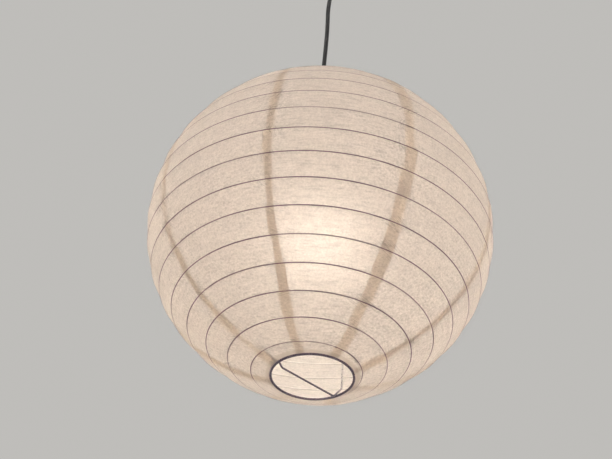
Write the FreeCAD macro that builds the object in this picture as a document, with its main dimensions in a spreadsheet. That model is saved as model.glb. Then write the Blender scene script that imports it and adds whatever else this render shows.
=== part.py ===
import FreeCAD, Part
import math
import os
import Sketcher

from FreeCAD import Placement, Rotation, Vector

# Paper ball pendant lamp. Millimetres, +Z up, origin on the ceiling face over the cord.

doc = FreeCAD.newDocument("PaperLamp")
sheet = doc.addObject("Spreadsheet::Sheet", "Sizes")

# Driving dimensions, one row each: name, value, what it is
rows = [
    ("ceiling_drop", 517.0, "ceiling face to the middle of the shade"),
    ("shade_diameter", 450.0, "across the paper at its widest"),
    ("shade_half_height", 216.1, "height of the round part of the meridian, from its middle"),
    ("mouth_reach", 10.0, "how far the meridian is drawn out towards each mouth"),
    ("mouth_power", 8.0, "how near the mouth that starts"),
    ("ring_radius", 51.2, "middle of the wire of the top and bottom rings"),
    ("ring_wire", 3.0, "thickness of the ring wire"),
    ("rib_wire", 1.5, "thickness of the spiral rib"),
    ("rib_turns", 18.0, "turns of the spiral rib"),
    ("rib_end_reach", 1.618, "ends of the spiral from the edge of the paper"),
    ("rib_lift", 8.934, "how far the middle turns sit above an even spacing"),
    ("rib_spread", 0.0512, "share by which the middle turns are wider apart"),
    ("rib_gap", 0.25, "spiral rib to the inside of the paper"),
    ("panel_count", 8.0, "paper gores round the shade"),
    ("seam_azimuth", 72.3, "degrees from +X of the seam where the spiral starts and ends"),
    ("paper_thickness", 0.35, "one layer of paper with its glue"),
    ("lap_width", 12.0, "width of a gore's edge over the gore before it"),
    ("lap_joggle", 2.0, "width of the step down from the lap"),
    ("lap_gap", 0.2, "glue line between lapped gores"),
    ("mouth_gap", 0.15, "paper edge to the ring wire"),
    ("stretcher_wire", 2.4, "thickness of the stretcher wire"),
    ("stretcher_azimuth", 42.15, "degrees from +X of the plane of the stretcher"),
    ("stretcher_offset", 7.3, "plane of the stretcher from the cord's axis"),
    ("stretcher_seat", 0.15, "stretcher shoulder to the ring wire"),
    ("bar_drop", 4.0, "crossbar below the plane of the bottom ring"),
    ("shoulder_slope", 52.0, "degrees of the shoulders from level"),
    ("leg_half_spacing", 57.0, "stretcher leg from the middle of the stretcher"),
    ("bar_bend", 6.0, "bend radius at the ends of the crossbar"),
    ("leg_bend", 10.0, "bend radius between leg and shoulder"),
    ("peak_bend", 3.0, "bend radius at the two top peaks"),
    ("arm_bend", 6.0, "bend radius above the carrier"),
    ("hook_bend", 3.0, "bend radius of the hook under the carrier"),
    ("hook_length", 7.0, "reach of the hook under the carrier"),
    ("hook_drop", 5.0, "hook below the carrier"),
    ("arm_rise", 10.0, "upright run of the arm above the carrier"),
    ("ear_spacing_half", 30.0, "wire hole in the carrier from the middle of the stretcher"),
    ("ear_width", 12.0, "width of the carrier's ears"),
    ("carrier_radius", 27.0, "round middle of the carrier"),
    ("carrier_thickness", 1.5, "sheet of the carrier"),
    ("wire_hole_gap", 0.2, "stretcher wire to its hole in the carrier"),
    ("thread_radius", 20.0, "clamp thread of the lampholder"),
    ("clamp_gap", 0.2, "clamp ring and carrier to the barrel"),
    ("seat_gap", 0.05, "between faces that are clamped together"),
    ("barrel_thread_height", 24.0, "lower rim of the lampholder to its flange"),
    ("flange_radius", 24.0, "flange above the carrier"),
    ("flange_height", 3.0, "thickness of that flange"),
    ("barrel_radius", 21.0, "barrel above the flange"),
    ("barrel_height", 40.0, "lower rim to the top of the barrel"),
    ("barrel_bore", 14.2, "bore round the screw shell"),
    ("insert_seat_height", 30.0, "lower rim to the seat of the insert"),
    ("insert_radius", 17.8, "insert disc"),
    ("insert_thickness", 8.0, "insert disc"),
    ("insert_gap", 0.2, "insert to the barrel"),
    ("clamp_ring_radius", 26.0, "outside of the clamp ring"),
    ("clamp_ring_height", 8.0, "height of the clamp ring"),
    ("grip_notches", 16.0, "finger notches round the clamp ring"),
    ("notch_radius", 1.6, "finger notch"),
    ("cap_height", 34.0, "holder cap over the barrel"),
    ("cap_skirt", 7.0, "straight skirt of the holder cap"),
    ("cap_neck_radius", 7.0, "neck round the cord"),
    ("cap_neck_height", 10.0, "straight neck of the holder cap"),
    ("cap_wall", 2.2, "wall of the holder cap"),
    ("grip_screw_radius", 2.0, "cord grip screw"),
    ("grip_screw_length", 6.0, "cord grip screw"),
    ("shell_wall", 0.5, "brass screw shell"),
    ("shell_height", 25.0, "brass screw shell"),
    ("shell_lift", 1.5, "screw shell above the lower rim"),
    ("shell_gap", 0.1, "screw shell to the bore"),
    ("contact_width", 5.0, "contact strip"),
    ("contact_sheet", 0.6, "contact strip"),
    ("contact_reach", 12.0, "fixed end of the contact strip from the middle"),
    ("contact_fold", 5.0, "fold of the contact strip from the middle"),
    ("contact_tongue", 4.0, "free end of the contact strip past the middle"),
    ("contact_gap", 0.3, "centre contact to the tip of the bulb"),
    ("contact_room", 2.0, "centre contact to the insert above it"),
    ("terminal_size", 6.0, "brass terminals on the insert"),
    ("terminal_spacing", 16.0, "between those terminals"),
    ("bulb_drop", 12.0, "middle of the bulb below the middle of the shade"),
    ("globe_radius", 30.0, "round part of the bulb"),
    ("glass_wall", 1.0, "glass of the bulb"),
    ("neck_radius", 12.6, "glass where it enters the cap"),
    ("neck_height", 52.0, "middle of the bulb to the cap"),
    ("screw_cap_radius", 13.2, "screw cap of the bulb"),
    ("screw_cap_height", 24.0, "screw cap of the bulb"),
    ("insulator_radius", 9.0, "black insulator at its foot"),
    ("insulator_height", 2.5, "black insulator"),
    ("tip_radius", 4.5, "end contact of the bulb"),
    ("tip_height", 1.5, "end contact of the bulb"),
    ("part_line", 0.05, "between pieces of the bulb"),
    ("cord_diameter", 6.0, "round flexible cord"),
    ("cord_bore_gap", 0.1, "cord to the bore of the holder cap"),
    ("cord_entry", 12.0, "length of cord inside the holder cap"),
    ("swivel_depth", 27.0, "ceiling face to the middle of the swivel ball"),
    ("ball_radius", 8.0, "swivel ball"),
    ("ball_slot_gap", 0.25, "cord to the slot of the ball"),
    ("ball_slot_flare", 3.0, "how far the slot widens to each side"),
    ("ball_seat_gap", 0.3, "ball to its hole in the bracket"),
    ("ball_seat_drop", 5.3, "middle of the ball to the top of the bracket plate"),
    ("bracket_sheet", 1.5, "sheet of the bracket"),
    ("bracket_width", 18.0, "width of the bracket"),
    ("bracket_half_length", 20.0, "upright of the bracket from the middle"),
    ("bracket_foot", 12.0, "length of each foot of the bracket"),
    ("bracket_screw_radius", 1.7, "screws of the bracket"),
    ("bracket_head_radius", 3.2, "heads of those screws"),
    ("bracket_head_height", 2.0, "heads of those screws"),
    ("screw_gap", 0.15, "screws in their holes"),
    ("base_radius", 43.7, "ceiling base"),
    ("base_thickness", 5.0, "floor of the ceiling base"),
    ("base_rim_height", 13.0, "rim of the ceiling base"),
    ("base_rim_wall", 3.2, "rim of the ceiling base"),
    ("mount_hole_radius", 2.3, "holes for the ceiling screws"),
    ("mount_hole_spacing", 60.0, "between those holes"),
    ("cable_hole_radius", 5.0, "hole for the house cable"),
    ("cable_hole_distance", 18.0, "that hole from the middle, both ways"),
    ("track_height", 3.4, "bayonet track in the rim"),
    ("track_depth", 2.2, "bayonet track in the rim"),
    ("track_angle", 46.0, "length of the track in degrees"),
    ("track_level", 8.4, "top of the track below the ceiling face"),
    ("track_play", 2.0, "degrees between a nib and the end of its track"),
    ("nib_angle", 8.0, "bayonet nib of the cover in degrees"),
    ("nib_gap", 0.3, "nib to its track"),
    ("cover_gap", 0.3, "cover to the base"),
    ("cover_wall", 2.0, "wall of the cover"),
    ("cover_side", 24.0, "straight side of the cover"),
    ("cover_height", 43.0, "ceiling face to the bottom of the cover"),
    ("cover_nose_radius", 19.0, "outside of the cover's nose"),
    ("cover_exit_radius", 10.0, "hole where the cord comes out"),
    ("cover_bend", 10.0, "inside bend of the cover below its side"),
    ("cover_lip", 0.8, "rounding of the edges of the cord hole"),
    ("block_length", 22.0, "terminal block"),
    ("block_width", 9.0, "terminal block"),
    ("block_height", 11.0, "terminal block"),
    ("block_distance", 15.5, "terminal block from the middle"),
    ("block_bore", 1.8, "radius of the wire holes in the block"),
    ("block_pitch", 10.0, "between the wire holes"),
    ("block_screw_radius", 1.6, "screws of the terminal block"),
    ("block_screw_length", 3.0, "screws of the terminal block"),
]

for number, (name, value, note) in enumerate(rows, start=1):
    sheet.set("A%d" % number, name)
    sheet.set("B%d" % number, str(value))
    sheet.set("C%d" % number, note)
    sheet.setAlias("B%d" % number, name)
doc.recompute()


# Lengths that follow from two others as the third side of a right triangle
third_sides = {"bracket_hole": (("ball_radius", "ball_seat_gap"), "ball_seat_drop")}


def size(name):
    if name in third_sides:
        longest, side = third_sides[name]
        return math.sqrt(sum(size(term) for term in longest) ** 2 - size(side) ** 2)
    return float(sheet.get(name))


def amount(words):
    """A sum such as 'cap_height + cap_wall - cord_diameter/2', worked out from the sheet."""
    total = 0.0
    sign = 1.0
    for word in words.split():
        if word in ("+", "-"):
            sign = 1.0 if word == "+" else -1.0
            continue
        name, _, divisor = word.partition("/")
        value = float(name) if name[0].isdigit() else size(name)
        total += sign * value / float(divisor or 1)
    return total


def bound(words):
    """The same sum as an expression on the sheet."""
    if words in third_sides:
        longest, side = third_sides[words]
        return "sqrt((%s)^2 - Sizes.%s^2)" % (" + ".join("Sizes." + term for term in longest), side)
    return " ".join("Sizes." + word if word[0].isalpha() else word for word in words.split())


def opposite(words):
    """The sum with every sign turned round, ready to follow another sum."""
    turned = {"+": "-", "-": "+"}
    return "- " + " ".join(turned.get(word, word) for word in words.split())


def tie(thing, prop, words):
    thing.setExpression(prop, bound(words))


def plane(body, role):
    return [feature for feature in body.Origin.OriginFeatures if feature.Role == role][0]


def newSketch(body, role, name):
    sketch = body.newObject("Sketcher::SketchObject", name)
    sketch.AttachmentSupport = [(plane(body, role), "")]
    sketch.MapMode = "FlatFace"
    return sketch


def pinPoint(sketch, item, end, across, up):
    """Hold one sketch point at two sums of sizes; a plain 0 puts it on the axis."""
    for kind, words, axis in (("DistanceX", across, -2), ("DistanceY", up, -1)):
        if words == "0":
            sketch.addConstraint(Sketcher.Constraint("PointOnObject", item, end, axis))
            continue
        number = sketch.addConstraint(Sketcher.Constraint(kind, -1, 1, item, end, amount(words)))
        sketch.setExpression("Constraints[%d]" % number, bound(words))


def drawPolygon(sketch, corners):
    """A closed outline of straight lines through corners given as sums of sizes."""
    points = [Vector(amount(across), amount(up), 0) for across, up in corners]
    first = sketch.GeometryCount
    count = len(points)
    for n in range(count):
        sketch.addGeometry(Part.LineSegment(points[n], points[(n + 1) % count]), False)
    for n in range(count):
        follower = first + (n + 1) % count
        sketch.addConstraint(Sketcher.Constraint("Coincident", first + n, 2, follower, 1))
    for n, (across, up) in enumerate(corners):
        pinPoint(sketch, first + n, 1, across, up)


def drawCircle(sketch, across, up, radius):
    centre = Vector(amount(across), amount(up), 0)
    item = sketch.addGeometry(Part.Circle(centre, Vector(0, 0, 1), amount(radius)), False)
    pinPoint(sketch, item, 3, across, up)
    number = sketch.addConstraint(Sketcher.Constraint("Radius", item, amount(radius)))
    sketch.setExpression("Constraints[%d]" % number, bound(radius))


def place(thing, up, across=None, along=None, turn=None):
    """Put a sub-part at its height, and to one side or turned where it needs that."""
    tie(thing, "Placement.Base.z", up)
    if across:
        tie(thing, "Placement.Base.x", across)
    if along:
        tie(thing, "Placement.Base.y", along)
    if turn:
        tie(thing, "Placement.Rotation.Angle", turn)


def turnedBody(label, corners, up):
    """A body of revolution about the vertical axis, from an outline of radius and height."""
    body = doc.addObject("PartDesign::Body", label)
    sketch = newSketch(body, "XZ_Plane", label + "_outline")
    drawPolygon(sketch, corners)
    spin = body.newObject("PartDesign::Revolution", label + "_turned")
    spin.Profile = sketch
    spin.ReferenceAxis = (sketch, ["V_Axis"])
    spin.Angle = 360
    body.Tip = spin
    place(body, up)
    doc.recompute()
    return body


def cutThrough(body, sketch, name, length=None, midplane=False, reversed_way=False):
    """A pocket that must take material away."""
    before = body.Shape.Volume
    pocket = body.newObject("PartDesign::Pocket", name)
    pocket.Profile = sketch
    if length:
        pocket.Type = 0
        tie(pocket, "Length", length)
    else:
        pocket.Type = 1
    pocket.Midplane = midplane
    pocket.Reversed = reversed_way
    body.Tip = pocket
    doc.recompute()
    if body.Shape.Volume >= before:
        raise RuntimeError(name + " cuts nothing")
    return pocket


def roundEdges(body, name, words, wanted):
    """Fillet the body's edges that the test picks."""
    tip = body.Tip
    names = ["Edge%d" % n for n, edge in enumerate(tip.Shape.Edges, start=1) if wanted(edge)]
    fillet = body.newObject("PartDesign::Fillet", name)
    fillet.Base = (tip, names)
    tie(fillet, "Radius", words)
    body.Tip = fillet
    doc.recompute()
    return fillet


def isRing(edge, radius, height):
    """A round edge about the body's own axis, of that radius and at that height."""
    curve = edge.Curve
    return (isinstance(curve, Part.Circle) and abs(curve.Radius - radius) < 1e-4
            and abs(curve.Center.z - height) < 1e-4 and abs(curve.Center.x) < 1e-4)


# Ceiling fitting

def mirroredPair(label, body, normal):
    """One node of two like solids, the second mirrored across the middle."""
    twin = doc.addObject("Part::Mirroring", label + "_twin")
    twin.Source = body
    twin.Normal = normal
    pair = doc.addObject("Part::Compound", label)
    pair.Links = [body, twin]
    doc.recompute()
    return pair


def sectorSketch(body, name, inner, outer, low, high, angle=None):
    """An upright rectangle for a ring sector, turned about the axis by an angle in degrees."""
    sketch = newSketch(body, "XZ_Plane", name)
    drawPolygon(sketch, [(inner, low), (outer, low), (outer, high), (inner, high)])
    if angle is not None:
        sketch.AttachmentOffset = Placement(Vector(), Rotation(Vector(0, 1, 0), angle))
    return sketch


def sector(body, kind, name, sketch, angle):
    feature = body.newObject("PartDesign::" + kind, name)
    feature.Profile = sketch
    feature.ReferenceAxis = (sketch, ["V_Axis"])
    feature.Midplane = True
    tie(feature, "Angle", angle)
    body.Tip = feature
    doc.recompute()
    return feature


def threeRound(body, name, originals):
    pattern = body.newObject("PartDesign::PolarPattern", name)
    pattern.Originals = originals
    pattern.Axis = (plane(body, "Z_Axis"), [""])
    pattern.Angle = 360
    pattern.Occurrences = 3
    body.Tip = pattern
    doc.recompute()
    return pattern


def makeRoseBase():
    """Round moulded base with a bayonet rim, open downwards."""
    floor = "base_rim_height - base_thickness"
    rim = "base_radius - base_rim_wall"
    body = turnedBody("rose_base", [
        ("0", floor), (rim, floor), (rim, "0"), ("base_radius", "0"),
        ("base_radius", "base_rim_height"), ("0", "base_rim_height")], "0 - base_rim_height")
    holes = newSketch(body, "XY_Plane", "base_holes")
    foot = "bracket_half_length + bracket_foot/2"
    for side in ("", "0 - "):
        drawCircle(holes, side + "mount_hole_spacing/2", "0", "mount_hole_radius")
        drawCircle(holes, "0", foot, "bracket_screw_radius + screw_gap")
        foot = "0 " + opposite(foot)
    drawCircle(holes, "0 - cable_hole_distance", "0 - cable_hole_distance", "cable_hole_radius")
    cutThrough(body, holes, "base_holes_cut", reversed_way=True)
    level = "base_rim_height - track_level"
    track = sectorSketch(body, "track_outline", "base_radius - track_depth", "base_radius + cover_gap",
                         level + " - track_height", level)
    run = sector(body, "Groove", "track_run", track, "track_angle")
    rest = (size("track_angle") - size("nib_angle")) / 2 - size("track_play")
    entry = sectorSketch(body, "entry_outline", "base_radius - track_depth + nib_gap/2",
                         "base_radius + cover_gap", "0 - cover_gap", level + " - track_height/2", rest)
    gate = sector(body, "Groove", "track_entry", entry, "nib_angle + track_play")
    threeRound(body, "tracks", [run, gate])
    return body


def makeRoseCover():
    """Turned cover with a drawn-in nose, three bayonet nibs and a rounded hole for the cord."""
    wall_in = "base_radius + cover_gap"
    wall_out = wall_in + " + cover_wall"
    shoulder = "cover_height - cover_side"
    body = turnedBody("rose_cover", [
        ("cover_exit_radius", "0"), ("cover_nose_radius", "0"), (wall_out, shoulder),
        (wall_out, "cover_height"), (wall_in, "cover_height"), (wall_in, shoulder),
        ("cover_nose_radius - cover_wall", "cover_wall"), ("cover_exit_radius", "cover_wall")],
        "0 - cover_height")
    roundEdges(body, "cover_shoulder_outside", "cover_bend + cover_wall",
               lambda edge: isRing(edge, amount(wall_out), amount(shoulder)))
    roundEdges(body, "cover_shoulder_inside", "cover_bend",
               lambda edge: isRing(edge, amount(wall_in), amount(shoulder)))
    roundEdges(body, "cover_nose_round", "cover_bend/2",
               lambda edge: isRing(edge, size("cover_nose_radius"), 0.0))
    roundEdges(body, "cover_lips", "cover_lip",
               lambda edge: isRing(edge, size("cover_exit_radius"), 0.0)
               or isRing(edge, size("cover_exit_radius"), size("cover_wall")))
    level = "cover_height - track_level - nib_gap"
    rest = (size("track_angle") - size("nib_angle")) / 2 - size("track_play")
    nib = sectorSketch(body, "nib_outline", "base_radius - track_depth + nib_gap", wall_in + " + nib_gap",
                       level + " - track_height + nib_gap + nib_gap", level, -rest)
    threeRound(body, "nibs", [sector(body, "Revolution", "nib", nib, "nib_angle")])
    return body


def makeSwivel():
    """Hat-shaped bracket with the ball that the cord hangs from, and the bracket's two screws."""
    plate = "0 - swivel_depth - ball_seat_drop - bracket_sheet"
    reach = "bracket_half_length"
    toe = "bracket_half_length + bracket_foot"
    top = "swivel_depth + ball_seat_drop + bracket_sheet - base_thickness - seat_gap"
    right = [(reach, "0"), (reach, top + " - bracket_sheet"), (toe, top + " - bracket_sheet"), (toe, top),
             (reach + " - bracket_sheet", top), (reach + " - bracket_sheet", "bracket_sheet")]
    left = [("0 " + opposite(across), up) for across, up in reversed(right)]
    body = doc.addObject("PartDesign::Body", "swivel_bracket")
    outline = newSketch(body, "YZ_Plane", "bracket_outline")
    drawPolygon(outline, right + left)
    pad = body.newObject("PartDesign::Pad", "bracket_strip")
    pad.Profile = outline
    pad.Midplane = True
    tie(pad, "Length", "bracket_width")
    body.Tip = pad
    place(body, plate)
    doc.recompute()
    holes = newSketch(body, "XY_Plane", "bracket_holes")
    drawCircle(holes, "0", "0", "bracket_hole")
    drawCircle(holes, "0", "bracket_half_length + bracket_foot/2", "bracket_screw_radius + screw_gap")
    drawCircle(holes, "0", "0 - bracket_half_length - bracket_foot/2", "bracket_screw_radius + screw_gap")
    cutThrough(body, holes, "bracket_holes_cut", reversed_way=True)

    ball = doc.addObject("PartDesign::Body", "swivel_ball")
    sphere = ball.newObject("PartDesign::AdditiveSphere", "ball_round")
    tie(sphere, "Radius", "ball_radius")
    place(ball, "0 - swivel_depth")
    doc.recompute()
    slot = newSketch(ball, "XZ_Plane", "ball_slot")
    half = "cord_diameter/2 + ball_slot_gap"
    low = "0 - ball_radius - ball_slot_flare"
    right = [(half, half), (half, "0"), (half + " + ball_slot_flare", low)]
    left = [("0 " + opposite(across), up) for across, up in reversed(right)]
    drawPolygon(slot, right + left)
    cutThrough(ball, slot, "ball_slot_cut", "cord_diameter + ball_slot_gap + ball_slot_gap", midplane=True)

    shank_top = "bracket_head_height + bracket_sheet + base_thickness - seat_gap"
    screw = turnedBody("bracket_screw", [
        ("0", "0"), ("bracket_head_radius", "0"), ("bracket_head_radius", "bracket_head_height"),
        ("bracket_screw_radius", "bracket_head_height"), ("bracket_screw_radius", shank_top),
        ("0", shank_top)],
        "0 - base_thickness - seat_gap - bracket_sheet - bracket_head_height - seat_gap")
    tie(screw, "Placement.Base.y", "bracket_half_length + bracket_foot/2")
    return [body, ball, mirroredPair("bracket_screws", screw, Vector(0, 1, 0))]


def makeTerminalBlock():
    """Two-pole block under the base, with its clamping screws facing down."""
    body = doc.addObject("PartDesign::Body", "terminal_block")
    outline = newSketch(body, "XY_Plane", "block_outline")
    wide, long = "block_width/2", "block_length/2"
    drawPolygon(outline, [(wide, long), ("0 - " + wide, long),
                          ("0 - " + wide, "0 - " + long), (wide, "0 - " + long)])
    pad = body.newObject("PartDesign::Pad", "block_body")
    pad.Profile = outline
    tie(pad, "Length", "block_height")
    body.Tip = pad
    place(body, "0 - base_thickness - seat_gap - block_height", across="block_distance")
    doc.recompute()
    ways = newSketch(body, "YZ_Plane", "wire_ways")
    wells = newSketch(body, "XY_Plane", "screw_wells")
    for pole in ("block_pitch/2", "0 - block_pitch/2"):
        drawCircle(ways, pole, "block_height/2", "block_bore")
        drawCircle(wells, "0", pole, "block_screw_radius + screw_gap")
    cutThrough(body, ways, "wire_ways_cut", "block_width + block_width", midplane=True)
    cutThrough(body, wells, "screw_wells_cut", "block_height/2", reversed_way=True)
    screw = turnedBody("terminal_screw", [
        ("0", "0"), ("block_screw_radius", "0"), ("block_screw_radius", "block_screw_length"),
        ("0", "block_screw_length")], "0 - base_thickness - seat_gap - block_height + screw_gap")
    tie(screw, "Placement.Base.x", "block_distance")
    tie(screw, "Placement.Base.y", "block_pitch/2")
    return [body, mirroredPair("terminal_screws", screw, Vector(0, 1, 0))]


# Lampholder, from its lower rim upwards
bulb_top = ("neck_height + part_line + screw_cap_height + part_line"
            " + insulator_height + tip_height - bulb_drop")
holder_rim = (bulb_top + " + contact_gap + contact_sheet + contact_room"
              " - insert_seat_height - ceiling_drop")


def makeHolder():
    thread_top = "barrel_thread_height"
    flange_top = "barrel_thread_height + flange_height"
    seat = "insert_radius + insert_gap"
    barrel = turnedBody("holder_body", [
        ("barrel_bore", "0"), ("thread_radius", "0"), ("thread_radius", thread_top),
        ("flange_radius", thread_top), ("flange_radius", flange_top), ("barrel_radius", flange_top),
        ("barrel_radius", "barrel_height"), (seat, "barrel_height"), (seat, "insert_seat_height"),
        ("barrel_bore", "insert_seat_height")], holder_rim)
    shell_out = "barrel_bore - shell_gap"
    shell_top = "shell_lift + shell_height"
    shell = turnedBody("screw_shell", [
        (shell_out + " - shell_wall", "shell_lift"), (shell_out, "shell_lift"), (shell_out, shell_top),
        (shell_out + " - shell_wall", shell_top)], holder_rim)
    wires = "cord_diameter/2"
    insert = turnedBody("holder_insert", [
        (wires, "0"), ("insert_radius", "0"), ("insert_radius", "insert_thickness"),
        (wires, "insert_thickness")],
        holder_rim + " + insert_seat_height + seat_gap")

    contact = doc.addObject("PartDesign::Body", "centre_contact")
    strip = newSketch(contact, "XZ_Plane", "contact_strip")
    tongue = "insert_seat_height - contact_room - contact_sheet"
    drawPolygon(strip, [
        ("0 - contact_reach", "insert_seat_height"), ("0 - contact_fold", "insert_seat_height"),
        ("0 - contact_sheet", tongue + " + contact_sheet"), ("contact_tongue", tongue + " + contact_sheet"),
        ("contact_tongue", tongue), ("0 - contact_sheet - contact_sheet", tongue),
        ("0 - contact_fold - contact_sheet", "insert_seat_height - contact_sheet"),
        ("0 - contact_reach", "insert_seat_height - contact_sheet")])
    pad = contact.newObject("PartDesign::Pad", "contact_sheet_pad")
    pad.Profile = strip
    pad.Midplane = True
    tie(pad, "Length", "contact_width")
    contact.Tip = pad
    place(contact, holder_rim)

    terminal = doc.addObject("Part::Box", "holder_terminal")
    for side in ("Length", "Width", "Height"):
        tie(terminal, side, "terminal_size")
    place(terminal, holder_rim + " + insert_seat_height + seat_gap + insert_thickness + seat_gap",
          "terminal_spacing/2 - terminal_size/2", "0 - terminal_size/2")
    terminals = mirroredPair("holder_terminals", terminal, Vector(1, 0, 0))

    bore = "cord_diameter/2 + cord_bore_gap"
    neck_foot = "cap_height - cap_neck_height"
    cap = turnedBody("holder_cap", [
        ("barrel_radius - cap_wall", "0"), ("barrel_radius", "0"), ("barrel_radius", "cap_skirt"),
        ("cap_neck_radius", neck_foot), ("cap_neck_radius", "cap_height"), (bore, "cap_height"),
        (bore, neck_foot), ("barrel_radius - cap_wall", "cap_skirt")],
        holder_rim + " + barrel_height + seat_gap")
    well = newSketch(cap, "XZ_Plane", "grip_well")
    drawCircle(well, "0", "cap_height - cap_neck_height/2", "grip_screw_radius + screw_gap")
    cutThrough(cap, well, "grip_well_cut", "cap_neck_radius + cap_wall")
    roundEdges(cap, "cap_shoulder", "cap_wall",
               lambda edge: isRing(edge, size("barrel_radius"), size("cap_skirt"))
               or isRing(edge, size("cap_neck_radius"), amount(neck_foot)))

    screw = doc.addObject("Part::Cylinder", "grip_screw")
    tie(screw, "Radius", "grip_screw_radius")
    tie(screw, "Height", "grip_screw_length")
    screw.Placement = Placement(Vector(), Rotation(Vector(1, 0, 0), -90))
    place(screw, holder_rim + " + barrel_height + seat_gap + cap_height - cap_neck_height/2",
          along="cord_diameter/2 + cord_bore_gap")
    doc.recompute()
    return [barrel, shell, insert, contact, terminals, cap, screw]


def makeClamp():
    """Notched clamp ring on the holder's thread, and the carrier plate that it holds against the flange."""
    ring_foot = "barrel_thread_height - carrier_thickness - seat_gap - seat_gap - clamp_ring_height"
    bore = "thread_radius + clamp_gap"
    ring = turnedBody("clamp_ring", [
        (bore, "0"), ("clamp_ring_radius", "0"), ("clamp_ring_radius", "clamp_ring_height"),
        (bore, "clamp_ring_height")], holder_rim + " + " + ring_foot)
    notch = newSketch(ring, "XY_Plane", "notch")
    drawCircle(notch, "clamp_ring_radius", "0", "notch_radius")
    cut = cutThrough(ring, notch, "notch_cut", reversed_way=True)
    notches = ring.newObject("PartDesign::PolarPattern", "notches")
    notches.Originals = [cut]
    notches.Axis = (plane(ring, "Z_Axis"), [""])
    notches.Angle = 360
    tie(notches, "Occurrences", "grip_notches")
    ring.Tip = notches

    carrier = doc.addObject("PartDesign::Body", "holder_carrier")
    disc = newSketch(carrier, "XY_Plane", "carrier_disc")
    drawCircle(disc, "0", "0", "carrier_radius")
    ears = newSketch(carrier, "XY_Plane", "carrier_ears")
    tip, half = "ear_spacing_half + ear_width/2", "ear_width/2"
    near, far = "stretcher_offset - " + half, "stretcher_offset + " + half
    drawPolygon(ears, [(tip, far), ("0 - ear_spacing_half - ear_width/2", far),
                       ("0 - ear_spacing_half - ear_width/2", near), (tip, near)])
    for sketch, name in ((disc, "disc_pad"), (ears, "ears_pad")):
        pad = carrier.newObject("PartDesign::Pad", name)
        pad.Profile = sketch
        tie(pad, "Length", "carrier_thickness")
        carrier.Tip = pad
        doc.recompute()
    holes = newSketch(carrier, "XY_Plane", "carrier_holes")
    drawCircle(holes, "0", "0", bore)
    drawCircle(holes, "ear_spacing_half", "stretcher_offset", "stretcher_wire/2 + wire_hole_gap")
    drawCircle(holes, "0 - ear_spacing_half", "stretcher_offset", "stretcher_wire/2 + wire_hole_gap")
    cutThrough(carrier, holes, "carrier_holes_cut", reversed_way=True)
    roundEdges(carrier, "ear_corners", "ear_width/3",
               lambda edge: abs(edge.BoundBox.ZLength - size("carrier_thickness")) < 1e-6
               and abs(abs(edge.CenterOfMass.x) - amount(tip)) < 1e-6)
    carrier.Placement = Placement(Vector(), Rotation(Vector(0, 0, 1), size("stretcher_azimuth")))
    tie(carrier, "Placement.Base.z", holder_rim + " + barrel_thread_height - seat_gap - carrier_thickness")
    doc.recompute()
    return [ring, carrier]


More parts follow.
